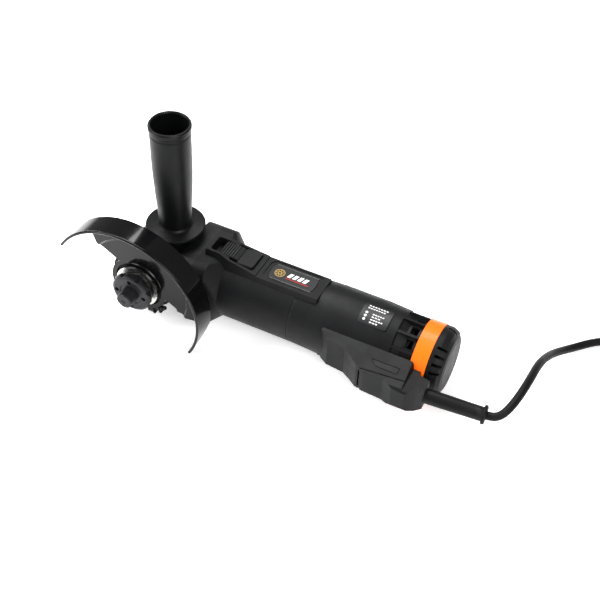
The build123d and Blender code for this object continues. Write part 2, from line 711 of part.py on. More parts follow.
def field_coils():
    """Two saddle coils, one round each pole."""
    with BuildPart() as coils:
        for middle in (90, 270):
            with BuildSketch(across(STATOR_X[0] - 7)):
                add(sector(STATOR_BORE_R + 1.2, YOKE_R - 0.2, POLE_HALF_ANGLE + 24, middle))
            extrude(amount=STATOR_X[1] - STATOR_X[0] + 14)
        for middle in (90, 270):
            with BuildSketch(across(STATOR_X[0] - 0.5)):
                add(sector(STATOR_BORE_R - 2, YOKE_R + 2, POLE_HALF_ANGLE + 1, middle))
            extrude(amount=STATOR_X[1] - STATOR_X[0] + 1, mode=Mode.SUBTRACT)
    return coils


TONGUE_IN_R = BARREL_R - BARREL_WALL + 0.1
SPIGOT_OUT_R = BARREL_R - BARREL_WALL - GAP
CAGE_R = 22.6
ROD_HALF = 4.2
ROD_Z = (BARREL_R - 2.8, BARREL_R - 1.2)
PAD_Z = BARREL_R + 1.0
PAD_HALF = 13.6
POCKET_X = (101.0, 150.0)
POCKET_HALF = 11.8
POCKET_DEEP = 0.8
BADGE_X = (105.0, 146.0)
BADGE_HALF = 8.7
SEAT_OUT_R = 14.6


TAIL_SCREW = Plane(origin=(147, MOTOR_Y, 0), x_dir=(0, 0, -1), z_dir=(0, 1, 0))


def flare(start, end, half, corner, radius):
    """Rounded square that runs over into a round barrel."""
    with BuildPart() as piece:
        with BuildSketch(across(start)):
            RectangleRounded(2 * half, 2 * half, corner)
        with BuildSketch(across(end)):
            RectangleRounded(2 * radius, 2 * radius, radius - 0.2)
        loft()
    return piece


def ridge(base_half, rim_half, top):
    """Section of a raised ridge on the barrel, with leaning sides."""
    foot = sqrt(BARREL_R**2 - base_half**2) - 0.2
    with BuildSketch() as section:
        root = 0.84 * base_half
        Polygon((-root, foot - 4), (-base_half, foot), (-rim_half, top), (rim_half, top),
                (base_half, foot), (root, foot - 4), align=None)
    return section.sketch


def motor_housing():
    with BuildPart() as housing:
        with BuildSketch(across(JOINT_X)):
            RectangleRounded(2 * JOINT_HALF, 2 * JOINT_HALF, JOINT_CORNER)
        extrude(amount=13)
        add(flare(JOINT_X + 13, JOINT_X + 24, JOINT_HALF, JOINT_CORNER, BARREL_R).part)
        add(rod(JOINT_X + 20, SEAM_X, BARREL_R, MOTOR).part)
        for x, rim_half, rise in PLINTH:
            with BuildSketch(across(x)):
                add(ridge(PLINTH_HALF, rim_half, BARREL_R + rise))
        loft(ruled=True)
        add(rod(SEAM_X - 1, SPIGOT_END_X, SPIGOT_OUT_R, MOTOR).part)
        with BuildSketch(across(SEAM_X - 1)):
            add(sector(SPIGOT_OUT_R - 1, BARREL_R, TONGUE_HALF_ANGLE))
        extrude(amount=TONGUE_X - SEAM_X + 1)
        with BuildSketch(across(PLINTH[-1][0] - 2)):
            add(ridge(PAD_HALF + 1.4, PAD_HALF, PAD_Z))
        extrude(amount=TONGUE_X - PLINTH[-1][0] + 2)
        # hollow: fan room, stator bore, brush cage, bearing seat
        add(rod(JOINT_X - 1, STATOR_X[0] - 9, FAN_R + 2, MOTOR).part, mode=Mode.SUBTRACT)
        add(rod(STATOR_X[0] - 10, STATOR_X[1] + 8, STATOR_R + 0.1, MOTOR).part, mode=Mode.SUBTRACT)
        add(rod(STATOR_X[1] + 7, SPIGOT_END_X - 4, CAGE_R, MOTOR).part, mode=Mode.SUBTRACT)
        add(rod(SPIGOT_END_X - 5, SPIGOT_END_X + 1, 8, MOTOR).part, mode=Mode.SUBTRACT)
        add(ring(REAR_BEARING_X, SPIGOT_END_X - 3.5, 12.6 + FIT, SEAT_OUT_R, MOTOR).part)
        with BuildSketch(across(SPIGOT_END_X - 5)):
            with PolarLocations(18.6, 6, 30):
                Circle(3.0)
        extrude(amount=6, mode=Mode.SUBTRACT)
        add(rod(CAGE_R - 1, BARREL_R, 1.6 + FIT, TAIL_SCREW).part, mode=Mode.SUBTRACT)
        # sliding switch: well, stem slot, rod channel
        for front, back, half in ((KNOB_X[0] - 1, THUMB_X + 8, KNOB_HALF), (THUMB_X, KNOB_X[1], THUMB_HALF)):
            with BuildSketch(level(WELL_Z, (front + back - SWITCH_TRAVEL) / 2)):
                RectangleRounded(back - front + SWITCH_TRAVEL + 2 * SLACK, 2 * (half + SLACK), 2)
            extrude(amount=KNOB_TOP_Z, mode=Mode.SUBTRACT)
        with BuildSketch(level(ROD_Z[0], (KNOB_X[0] + KNOB_X[1] - SWITCH_TRAVEL) / 2)):
            Rectangle(12 + SWITCH_TRAVEL, 2 * ROD_HALF + 0.8)
        extrude(amount=6, mode=Mode.SUBTRACT)
        channel_x = (62.0, SPIGOT_END_X + 1)
        with BuildSketch(level(ROD_Z[0] - 0.4, (channel_x[0] + channel_x[1]) / 2)):
            Rectangle(channel_x[1] - channel_x[0], 2 * ROD_HALF + 0.8)
        extrude(amount=ROD_Z[1] - ROD_Z[0] + 0.8, mode=Mode.SUBTRACT)
        # badge pocket
        with BuildSketch(level(PAD_Z - POCKET_DEEP, (POCKET_X[0] + POCKET_X[1]) / 2)):
            RectangleRounded(POCKET_X[1] - POCKET_X[0], 2 * POCKET_HALF, 6)
        extrude(amount=3, mode=Mode.SUBTRACT)
        with BuildSketch(across(JOINT_X - 1)):
            with Locations(*joint_screw_spots):
                Circle(2.3)
        extrude(amount=13, mode=Mode.SUBTRACT)
    return housing


def air_baffle():
    return turned([
        (60.6, 14), (60.6, FAN_R + 1.9), (62.6, FAN_R + 1.9), (62.6, 16.5), (63.4, 15.5), (63.4, 14),
    ], MOTOR)


def name_badge():
    with BuildPart() as badge:
        with BuildSketch(level(PAD_Z - POCKET_DEEP, (BADGE_X[0] + BADGE_X[1]) / 2)):
            RectangleRounded(BADGE_X[1] - BADGE_X[0], 2 * BADGE_HALF, 4.8)
        extrude(amount=0.7)
        chamfer(badge.faces().sort_by(Axis.Z)[-1].edges(), 0.3)
    return badge


save(stator_core(), "stator_core")
save(field_coils(), "field_coils")
save(motor_housing(), "motor_housing")
save(air_baffle(), "air_baffle")
save(name_badge(), "name_badge")

# ---------------------------------------------------------------- brushes
BRUSH_X = 136.0
BRUSH_HALF = (4.0, 2.6)
BRUSH_LONG = 7.6
brush_planes = [Plane(origin=(BRUSH_X, MOTOR_Y, 0), x_dir=(1, 0, 0), z_dir=(0, side, 0)) for side in (-1, 1)]


def brush_holders():
    with BuildPart() as holders:
        for place in brush_planes:
            with BuildSketch(place.offset(COMMUTATOR_R + 1.0)):
                Rectangle(2 * BRUSH_HALF[0] + 2.4, 2 * BRUSH_HALF[1] + 2.4)
                Rectangle(2 * BRUSH_HALF[0] + 0.2, 2 * BRUSH_HALF[1] + 0.2, mode=Mode.SUBTRACT)
            extrude(amount=8.2)
            with BuildSketch(place.offset(COMMUTATOR_R + 9.0)):
                Rectangle(2 * BRUSH_HALF[0] + 2.4, 2 * BRUSH_HALF[1] + 2.4)
            extrude(amount=0.9)
    return holders


def carbon_brushes():
    with BuildPart() as brushes:
        for place in brush_planes:
            with BuildSketch(place.offset(COMMUTATOR_R + 0.3)):
                Rectangle(2 * BRUSH_HALF[0], 2 * BRUSH_HALF[1])
            extrude(amount=5.0)
    return brushes


def brush_springs():
    with BuildPart() as both:
        for side in (-1, 1):
            axis = Plane(origin=(BRUSH_X, MOTOR_Y, 0), x_dir=(0, side, 0), z_dir=(1, 0, 0))
            add(spring(axis, COMMUTATOR_R + 5.8, 2.8, 1.8, 0.3, 3).part)
    return both


save(brush_holders(), "brush_holders")
save(carbon_brushes(), "carbon_brushes")
save(brush_springs(), "brush_springs")

# ---------------------------------------------------------------- switch
MODULE_X = (176.0, 206.0)
MODULE_Z = (4.05, 20.0)
RIBS = 6
RIB_PITCH = 2.2


def switch_knob():
    """Slider with a ribbed front part and a wider, lower thumb pad behind it."""
    start, end = KNOB_X
    middle = (start + end) / 2
    base_z = WELL_Z + GAP
    with BuildPart() as knob:
        with BuildSketch(level(base_z, (THUMB_X + end) / 2)):
            RectangleRounded(end - THUMB_X, 2 * THUMB_HALF, 3.5)
        extrude(amount=THUMB_Z - base_z)
        chamfer(knob.faces().sort_by(Axis.Z)[-1].edges(), 0.6)
        with BuildSketch(level(base_z, (start + THUMB_X + 1) / 2)):
            RectangleRounded(THUMB_X + 1 - start, 2 * KNOB_HALF, 1.2)
        extrude(amount=KNOB_TOP_Z - base_z)
        side = Plane(origin=(0, MOTOR_Y, 0), x_dir=(1, 0, 0), z_dir=(0, -1, 0))
        with BuildSketch(side):
            with BuildLine():
                Polyline((start - 1, KNOB_TOP_Z + 1), (start - 1, KNOB_TOP_Z - 1.8),
                         (start + 1.6, KNOB_TOP_Z - 0.2), (THUMB_X - 3, KNOB_TOP_Z - 0.6),
                         (THUMB_X + 2, KNOB_TOP_Z - 2.0),
                         (THUMB_X + 2, KNOB_TOP_Z + 1), close=True)
            make_face()
            for n in range(RIBS):
                with Locations((start + 3.0 + RIB_PITCH * n, KNOB_TOP_Z - 0.8)):
                    Rectangle(1.0, 1.6)
        extrude(amount=KNOB_HALF + 1, both=True, mode=Mode.SUBTRACT)
        with BuildSketch(level(ROD_Z[1] + FIT, middle)):
            Rectangle(9, 2 * ROD_HALF - 1)
        extrude(amount=base_z - ROD_Z[1] + FIT)
    return knob


def switch_rod():
    """Flat link from the knob to the switch in the tail."""
    tail = MODULE_X[0] - 1
    front = 70.0
    with BuildPart() as link:
        with BuildSketch(level(ROD_Z[0], (front + tail) / 2)):
            Rectangle(tail - front, 2 * ROD_HALF)
        extrude(amount=ROD_Z[1] - ROD_Z[0])
        with BuildSketch(level(MODULE_Z[0] + 9, tail - 1.5)):
            Rectangle(3, 2 * ROD_HALF)
        extrude(amount=ROD_Z[1] - MODULE_Z[0] - 9)
    return link


def switch_module():
    with BuildPart() as module:
        with BuildSketch(level(MODULE_Z[0], (MODULE_X[0] + MODULE_X[1]) / 2)):
            Rectangle(MODULE_X[1] - MODULE_X[0], 16)
        extrude(amount=MODULE_Z[1] - MODULE_Z[0])
        chamfer(module.edges().filter_by(Axis.Z), 1)
        with BuildSketch(across(MODULE_X[1], MOTOR_Y, 11)):
            with GridLocations(7, 7, 2, 2):
                Rectangle(4.5, 0.9)
        extrude(amount=4)
    return module


save(switch_knob(), "switch_knob")
save(switch_rod(), "switch_rod")
save(switch_module(), "switch_module")

# ---------------------------------------------------------------- tail
HUMP_TOP_Y = -26.0    # from the motor axis, where the hump leaves the round body
HUMP_TIP_X = 163.0
HUMP_WAIST_X = 243.0   # behind this the hump is only a sleeve for the strain relief
HUMP_END_X = 262.0
SLEEVE_HALF = 10.5
RELIEF_Y = -41.0
RELIEF_X = (243.0, 311.0)
RECESS_R = 26.0


def hump(grow=0.0):
    """Cord hump under the tail, or the space that it takes when grown."""
    side = [
        (HUMP_TIP_X, HUMP_TOP_Y), (HUMP_TIP_X + 5, -30.5), (174, -34.5), (190, -36.5), (197, -41),
        (205, -47), (212, -49), (229, -50), (238, -53.5), (249, -54), (257, -50),
        (HUMP_END_X, -45), (HUMP_END_X, -33),
        (252, -31), (252, HUMP_TOP_Y),
    ]
    plan = [(HUMP_TIP_X - 1, 0), (HUMP_TIP_X - 1, 8), (HUMP_TIP_X + 4, HUMP_HALF + 3),
            (HUMP_WAIST_X, HUMP_HALF + 3), (HUMP_WAIST_X + 3, SLEEVE_HALF), (HUMP_END_X + 1, SLEEVE_HALF)]
    with BuildPart() as body:
        with BuildSketch(level(0)):
            with BuildLine():
                Polyline(*side, close=True)
            make_face()
            if grow:
                offset(amount=grow, kind=Kind.INTERSECTION)
        extrude(amount=HUMP_HALF + 4, both=True)
        with BuildSketch(across(130)):
            with BuildLine():
                Polyline((HUMP_TOP_Y + 6, -HUMP_HALF - 1.5 - grow), (-44, -HUMP_HALF + 3.5 - grow),
                         (-52, -HUMP_HALF + 5 - grow), (-55 - grow, -HUMP_HALF + 9),
                         (-55 - grow, HUMP_HALF - 9), (-52, HUMP_HALF - 5 + grow),
                         (-44, HUMP_HALF - 3.5 + grow),
                         (HUMP_TOP_Y + 6, HUMP_HALF + 1.5 + grow), close=True)
            make_face()
        extrude(amount=140, mode=Mode.INTERSECT)
        with BuildSketch(Plane(origin=(0, MOTOR_Y, 0), x_dir=(1, 0, 0), z_dir=(0, -1, 0))):
            with BuildLine():
                Polyline(*plan, *[(x, -z) for x, z in reversed(plan) if z], close=True)
            make_face()
            if grow:
                offset(amount=grow, kind=Kind.INTERSECTION)
        extrude(amount=80, mode=Mode.INTERSECT)
    return body


def hump_marks():
    """Grooves in the hump's flanks: a slanted outline above a straight line."""
    outline = [(-12, 2.9), (12.7, 3.3), (12.2, -3.0), (-6.5, -2.6)]
    line = [(-18, -9.9), (22, -6.2), (22, -5.2), (-18, -8.9)]
    lean = (HUMP_HALF - 3.5 - HUMP_HALF - 1.5) / (44 + HUMP_TOP_Y + 6)
    with BuildPart() as marks:
        for side in (-1, 1):
            height = side * (HUMP_HALF + 1.5 + lean * (39 + HUMP_TOP_Y + 6))
            face = Plane(origin=(225, MOTOR_Y - 39, height), x_dir=(1, 0, 0), z_dir=(0, lean, side))
            with BuildSketch(face.offset(1)):
                Polygon(*[(u, side * v) for u, v in outline], align=None)
                offset(amount=-0.55, mode=Mode.SUBTRACT)
                Polygon(*[(u, side * v) for u, v in line], align=None)
            extrude(amount=-1.7)
    return marks


RELIEF = Plane(origin=(RELIEF_X[0], MOTOR_Y + RELIEF_Y, 0),
               x_dir=(cos(radians(RELIEF_TILT)), sin(radians(RELIEF_TILT)), 0), z_dir=(0, 0, 1))
RELIEF_LONG = (RELIEF_X[1] - RELIEF_X[0]) / cos(radians(RELIEF_TILT))


RIB_ANGLES = (30, 57, 84, 111, 138)     # from +Y, on both flanks
RIB_T = 2.2


def radial(angle):
    """Half plane through the motor axis; u runs along +X, v outward at the angle from +Y toward +Z."""
    turn = radians(angle)
    return Plane(origin=MOTOR.origin, x_dir=(1, 0, 0), z_dir=(0, -sin(turn), cos(turn)))


def rear_housing():
    with BuildPart() as housing:
        add(turned([
            (SEAM_X + GAP, 0), (SEAM_X + GAP, BARREL_R), (150, BARREL_R + 0.5), (164, REAR_R), (205, REAR_R),
            (RECESS_X, REAR_R - 0.9), (RECESS_X + 1, RECESS_R + 2.5), (RECESS_X + 7, RECESS_R),
            (REAR_END_X, RECESS_R), (REAR_END_X, 0),
        ], MOTOR).part)
        for y in (-10, 10):
            with BuildSketch(level(FLOOR_Z, 172, MOTOR_Y + y)):
                RectangleRounded(34, 4, 1.5)
            extrude(amount=10)
        add(hump().part)
        add(hump_marks().part, mode=Mode.SUBTRACT)
        for angle in RIB_ANGLES + tuple(-a for a in RIB_ANGLES):
            with BuildSketch(radial(angle)):
                Polygon((RECESS_X - 2, RECESS_R - 1), (RECESS_X - 2, REAR_R - 1.2),
                        (REAR_END_X, REAR_R - 1.3), (REAR_END_X, RECESS_R - 1), align=None)
            extrude(amount=RIB_T / 2, both=True)
        # hollow
        add(rod(SEAM_X - 1, SPIGOT_END_X + 1, SPIGOT_OUT_R + GAP, MOTOR).part, mode=Mode.SUBTRACT)
        add(rod(SPIGOT_END_X, RECESS_X - 4, REAR_R - 3, MOTOR).part, mode=Mode.SUBTRACT)
        add(rod(RECESS_X - 5, REAR_END_X + 1, RECESS_R - 2.2, MOTOR).part, mode=Mode.SUBTRACT)
        with BuildSketch(across(SEAM_X - 1)):
            add(sector(SPIGOT_OUT_R - 2, REAR_R + 4, TONGUE_HALF_ANGLE + 0.8))
        extrude(amount=TONGUE_X - SEAM_X + 1 + GAP, mode=Mode.SUBTRACT)
        with BuildSketch(level(22, (TONGUE_X + MODULE_X[0]) / 2)):
            Rectangle(MODULE_X[0] - TONGUE_X + 4, 2 * ROD_HALF + 0.8)
        extrude(amount=ROD_Z[1] + SLACK - 22, mode=Mode.SUBTRACT)
        for low_rib, high_rib in zip(RIB_ANGLES, RIB_ANGLES[1:]):
            for side in (-1, 1):
                with BuildSketch(across(RECESS_X + 9)):
                    add(sector(RECESS_R - 4, RECESS_R + 1, 8.0, side * (low_rib + high_rib) / 2))
                extrude(amount=REAR_END_X - RECESS_X - 12, mode=Mode.SUBTRACT)
        add(rod(SPIGOT_OUT_R - 1, REAR_R, 1.8, TAIL_SCREW).part, mode=Mode.SUBTRACT)
        add(rod(BARREL_R - 1.6, REAR_R + 1, 3.3, TAIL_SCREW).part, mode=Mode.SUBTRACT)
        # cord way through the hump
        with BuildSketch(level(0, 222, MOTOR_Y - 36)):
            Rectangle(30, 24)
        extrude(amount=9, both=True, mode=Mode.SUBTRACT)
        add(rod(-14, RELIEF_LONG, RELIEF_R + FIT, RELIEF).part, mode=Mode.SUBTRACT)
        add(rod(-0.05, 4.05, RELIEF_R + 2.4, RELIEF).part, mode=Mode.SUBTRACT)
    return housing


def tail_screw():
    seat = TAIL_SCREW.from_local_coords((BARREL_R - 1.6, 0, 0))
    place = Plane(origin=seat, x_dir=(1, 0, 0), z_dir=(0, 0, 1))
    return screws([place], 1.6, 3.0, 1.4, 4.6)


def strain_relief():
    """Rubber cord guard with an anchor collar in the hump and a bead at its mouth."""
    r = RELIEF_R
    return turned([
        (0, 0), (0, r + 2.3), (4, r + 2.3), (4, r), (RELIEF_LONG - 3.2, r - 0.3), (RELIEF_LONG - 3, r + 1.7),
        (RELIEF_LONG - 0.6, r + 1.7), (RELIEF_LONG, r + 1.0), (RELIEF_LONG, 0),
    ], RELIEF)


def orange_band():
    with BuildPart() as band:
        add(ring(REAR_END_X + 0.1, BAND_X, REAR_R - 4.4, REAR_R - 1.2, MOTOR).part)
        add(ring(REAR_END_X - 3, REAR_END_X + 1, RECESS_R - 4.6, RECESS_R - 2.4, MOTOR).part)
        add(ring(REAR_END_X + 0.1, REAR_END_X + 1.5, RECESS_R - 4.6, REAR_R - 3, MOTOR).part)
        add(hump(GAP).part, mode=Mode.SUBTRACT)
    return band


CAP_SLOT_ANGLES = (24, 38, 52, 66, 114, 128, 142, 156)     # from +Y, on both flanks


def end_cap():
    inner = REAR_R - 4.4 - 0.1
    with BuildPart() as cap:
        add(turned([
            (BAND_X + 0.1, inner - 3), (BAND_X + 0.1, REAR_R - 1.5), (TAIL_X - 8, REAR_R - 1.7),
            (TAIL_X - 3.5, REAR_R - 3.4), (TAIL_X - 0.8, REAR_R - 7.5), (TAIL_X, REAR_R - 12), (TAIL_X, 0),
            (TAIL_X - 2.6, 0), (TAIL_X - 2.6, inner - 10), (TAIL_X - 7, inner - 3),
        ], MOTOR).part)
        add(ring(BAND_X - 8, BAND_X + 1, inner - 3, inner, MOTOR).part)
        with BuildSketch(across(BAND_X + 3)):
            for angle in CAP_SLOT_ANGLES:
                for side in (-1, 1):
                    add(sector(REAR_R - 7.5, REAR_R + 1, 2.4, side * angle))
        extrude(amount=8, mode=Mode.SUBTRACT)
        add(hump(GAP).part, mode=Mode.SUBTRACT)
        add(rod(-5, RELIEF_LONG, RELIEF_R + GAP, RELIEF).part, mode=Mode.SUBTRACT)
    return cap


PLATE_X = (190.0, 215.0)
PLATE_LEAN = 13.0      # turned from the top toward the disc side
PLATE_HALF = 9.7


def rating_plate():
    lean = radians(PLATE_LEAN)
    seat = Plane(origin=((PLATE_X[0] + PLATE_X[1]) / 2, MOTOR_Y, 0), x_dir=(1, 0, 0),
                 z_dir=(0, -sin(lean), cos(lean)))
    with BuildPart() as plate:
        with BuildSketch(seat):
            RectangleRounded(PLATE_X[1] - PLATE_X[0], 2 * PLATE_HALF, 2.5)
        extrude(amount=40)
        skin = ring(PLATE_X[0] - 5, PLATE_X[1] + 5, REAR_R + 0.02, REAR_R + 0.4, MOTOR)
        add(skin.part, mode=Mode.INTERSECT)
    return plate


save(rear_housing(), "rear_housing")
save(tail_screw(), "tail_screw")
save(strain_relief(), "strain_relief")
save(orange_band(), "orange_band")
save(end_cap(), "end_cap")
save(rating_plate(), "rating_plate")


def capacitor():
    with BuildPart() as part:
        with BuildSketch(level(-11.05, 192)):
            Rectangle(24, 18)
        extrude(amount=14)
        fillet(part.edges().filter_by(Axis.Z), 2)
    return part


def terminal_block():
    with BuildPart() as block:
        with BuildSketch(level(4.05, 221, MOTOR_Y)):
            Rectangle(14, 20)
        extrude(amount=10)
        with BuildSketch(level(14.05, 221, MOTOR_Y)):
            with GridLocations(7, 10, 2, 2):
                Circle(2.2)
        extrude(amount=-5, mode=Mode.SUBTRACT)
    return block


def cord_clamp():
    with BuildPart() as clamp:
        with BuildSketch(level(-8.95, 222, MOTOR_Y - 41.4)):
            RectangleRounded(10, 13, 1.5)
        extrude(amount=15.5)
        add(rod(-40, 0, CORD_R + FIT, RELIEF).part, mode=Mode.SUBTRACT)
    return clamp


def switch_cradle():
    """Shelf across the tail that carries the switch, the capacitor and the terminals."""
    with BuildPart() as cradle:
        with BuildSketch(level(3.0, 190)):
            Rectangle(40, 2 * 27.7)
        with BuildSketch(level(3.0, 219.5)):
            Rectangle(21, 2 * 23.3)
        extrude(amount=1)
        with BuildSketch(level(3.0, 181)):
            with GridLocations(24, 42, 2, 2):
                Circle(1.7)
        extrude(amount=1, mode=Mode.SUBTRACT)
    return cradle


save(capacitor(), "capacitor")
save(terminal_block(), "terminal_block")
save(cord_clamp(), "cord_clamp")
save(switch_cradle(), "switch_cradle")
save(rod(-30, 0, CORD_R, RELIEF), "cord_inner_end")

# ---------------------------------------------------------------- side handle
GRIP_FLOOR_Z = 56.0


def side_handle_grip():
    r = GRIP_FLANGE_R
    band_z = GRIP_TOP_Z - 9
    swell = band_z - 46.5
    with BuildPart() as grip:
        with BuildSketch(HANDLE):
            with BuildLine():
                Polyline((GRIP_FLOOR_Z, 0), (SOCKET_Z, 0), (SOCKET_Z, 11.5), (41.4, r - 0.4), (42.0, r),
                         (43.2, r), (43.8, r - 0.8), (45.0, 15.2), (46.5, 14.0))
                Spline((46.5, 14.0), (46.5 + 0.26 * swell, 14.9), (46.5 + 0.59 * swell, 16.3),
                       (band_z, 16.6), tangents=((1, -0.02), (1, 0.0)))
                Polyline((band_z, 16.6), (band_z + 1.5, 16.2), (band_z + 3, 16.2), (band_z + 4.5, 17.2),
                         (GRIP_TOP_Z - 1.2, 17.4), (GRIP_TOP_Z, 16.6), (GRIP_TOP_Z, GRIP_BORE_R + 0.6),
                         (GRIP_TOP_Z - 1, GRIP_BORE_R), (GRIP_TOP_Z - 46, 13.4), (GRIP_FLOOR_Z, 11.0),
                         (GRIP_FLOOR_Z, 0))
            make_face()
        revolve(axis=Axis(HANDLE.origin, HANDLE.x_dir))
        add(rod(SOCKET_Z - 1, GRIP_FLOOR_Z + 1, STUD_R + FIT, HANDLE).part, mode=Mode.SUBTRACT)
    return grip


def handle_stud():
    with BuildPart() as stud:
        tip_z = SOCKET_Z - SOCKET_DEPTH + 1
        add(turned([(tip_z, 0), (tip_z, STUD_R - 1), (tip_z + 1, STUD_R), (GRIP_FLOOR_Z, STUD_R),
                    (GRIP_FLOOR_Z, 0)], HANDLE).part)
        with BuildSketch(level(GRIP_FLOOR_Z, HANDLE_X)):
            RegularPolygon(7.0, 6)
        extrude(amount=5.5)
    return stud


save(side_handle_grip(), "side_handle_grip")
save(handle_stud(), "handle_stud")

# ---------------------------------------------------------------- cord and plug
CORD_LEVEL = FLOOR_Z + CORD_R + 0.1
COIL_AT = (428.0, 144.0)
COIL_R = (30.3, 44.3)      # innermost and outermost turn
COIL_LAYER = 6.9           # rise from one layer of turns to the next
PLUG_Z = FLOOR_Z + 13.0
PLUG_Y = 104.0
PLUG_LONG = 40.0
PIN_SPACING = 19.0
PIN_R = 2.4
PIN_LONG = 19.0

COIL_HEADING = radians(30.0)
coil_entry = (COIL_AT[0] - COIL_R[1] * sin(COIL_HEADING), COIL_AT[1] + COIL_R[1] * cos(COIL_HEADING))

cord_route = [
    tuple(RELIEF.from_local_coords((RELIEF_LONG, 0, 0))),
    tuple(RELIEF.from_local_coords((RELIEF_LONG + 6.5, 0, 0))),
    (323.8, 14.3, 3.6),
    (328.0, 29.0, 7.5),
    (330.0, 51.0, 7.5),
    (330.0, 81.0, -0.5),
    (333.5, 111.5, -18.0),
    (345.0, 138.5, CORD_LEVEL),
    (coil_entry[0] - 50.0 * cos(COIL_HEADING), coil_entry[1] - 50.0 * sin(COIL_HEADING), CORD_LEVEL),
    (coil_entry[0] - 26.0 * cos(COIL_HEADING), coil_entry[1] - 26.0 * sin(COIL_HEADING), CORD_LEVEL),
]


def bend_radii(route):
    """Radius at each corner: 0.45 of the shorter run over the tangent of half the turn."""
    spots = [Vector(*point) for point in route]
    runs = [b - a for a, b in zip(spots, spots[1:])]
    radii = []
    for before, after in zip(runs, runs[1:]):
        turn = radians(before.get_angle(after))
        radii.append(0.45 * min(before.length, after.length) / tan(turn / 2))
    return radii


def cord_tube():
    radii = bend_radii(cord_route)
    print("cord radii", [round(radius, 1) for radius in radii])
    with BuildPart() as cord:
        with BuildLine() as line:
            FilletPolyline(*cord_route, radius=radii)
        with BuildSketch(Plane(origin=line.wire() @ 0, z_dir=line.wire() % 0)):
            Circle(CORD_R)
        sweep(path=line.wire())
    length = line.wire().length
    print("cord tube", round(length, 1), round(cord.part.volume / (pi * CORD_R**2 * length), 4))
    return cord


def cord_coil():
    """Outer shape of the put-away coil, with the ends of its first and last turn."""
    x, y = COIL_AT
    low = COIL_R[0] - CORD_R
    high = COIL_R[1] + CORD_R + 0.3
    tube_end = cord_route[-1]
    heading = (cos(COIL_HEADING), sin(COIL_HEADING), 0)
    with BuildPart() as coil:
        with BuildSketch(Plane(origin=(x, y, FLOOR_Z))):
            Circle(high)
            Circle(low, mode=Mode.SUBTRACT)
        extrude(amount=2 * CORD_R + COIL_LAYER)
        with BuildSketch(Plane(origin=tube_end, z_dir=heading)):
            Circle(CORD_R)
        extrude(amount=24)
        with BuildSketch(Plane(origin=(x + COIL_R[1], PLUG_Y, PLUG_Z), z_dir=(0, 1, 0))):
            Circle(CORD_R)
        extrude(amount=y - PLUG_Y - 6)
    return coil


def plug_body():
    """Two-pin contour plug, lying flat, with its cord entry toward +Y."""
    x = COIL_AT[0] + COIL_R[1]
    spots = (
        (0.0, 6.0, 6.0, 2.9), (-8.0, 6.4, 6.4, 3.1),
        (-20.0, 17.0, 12.0, 8.0), (-36.0, 18.0, 12.8, 10.0),
    )
    with BuildPart() as body:
        for away, half_wide, half_high, corner in spots:
            with BuildSketch(Plane(origin=(x, PLUG_Y + away, PLUG_Z), x_dir=(1, 0, 0), z_dir=(0, -1, 0))):
                RectangleRounded(2 * half_wide, 2 * half_high, corner)
        loft(ruled=True)
        with BuildSketch(Plane(origin=(x, PLUG_Y - 36, PLUG_Z), x_dir=(1, 0, 0), z_dir=(0, -1, 0))):
            RectangleRounded(33, 23, 9)
        extrude(amount=PLUG_LONG - 36)
    return body


def plug_pins():
    x = COIL_AT[0] + COIL_R[1]
    with BuildPart() as pins:
        with BuildSketch(Plane(origin=(x, PLUG_Y - PLUG_LONG, PLUG_Z), x_dir=(1, 0, 0), z_dir=(0, -1, 0))):
            with GridLocations(PIN_SPACING, 1, 2, 1):
                Circle(PIN_R)
        extrude(amount=PIN_LONG)
        fillet(pins.faces().sort_by(Axis.Y)[:2].edges(), 1.2)
    return pins


save(cord_tube(), "cord_tube")
save(cord_coil(), "cord_coil")
save(plug_body(), "plug_body")
save(plug_pins(), "plug_pins")
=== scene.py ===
import json
from math import cos, pi, radians, sin

import bmesh
import bpy
from mathutils import Matrix, Vector


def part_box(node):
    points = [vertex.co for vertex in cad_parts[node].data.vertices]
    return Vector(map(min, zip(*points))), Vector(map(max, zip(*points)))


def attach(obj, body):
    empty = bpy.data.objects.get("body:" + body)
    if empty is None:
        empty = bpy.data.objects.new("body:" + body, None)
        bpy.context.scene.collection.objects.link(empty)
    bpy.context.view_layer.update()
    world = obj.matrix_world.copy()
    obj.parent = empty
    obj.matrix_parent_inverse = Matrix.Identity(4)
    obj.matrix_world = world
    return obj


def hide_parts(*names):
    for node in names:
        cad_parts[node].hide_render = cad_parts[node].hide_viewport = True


# Corded angle grinder on its side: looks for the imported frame. Metres, +Z up.
# Sizes of added pieces are in millimetres and are scaled by MM as their meshes are made.

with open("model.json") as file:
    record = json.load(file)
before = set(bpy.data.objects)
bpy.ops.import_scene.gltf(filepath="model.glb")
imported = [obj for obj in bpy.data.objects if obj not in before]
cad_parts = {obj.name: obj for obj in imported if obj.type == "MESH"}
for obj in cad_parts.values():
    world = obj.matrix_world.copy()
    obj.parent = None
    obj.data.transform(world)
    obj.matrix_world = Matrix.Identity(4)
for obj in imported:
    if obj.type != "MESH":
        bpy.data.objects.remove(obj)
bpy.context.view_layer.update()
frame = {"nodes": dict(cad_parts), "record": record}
nodes = frame["nodes"]
MM = 0.001
MOTOR_Y = 44 * MM
FLOOR_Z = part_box("rear_housing")[0].z
CORD_D = 7 * MM


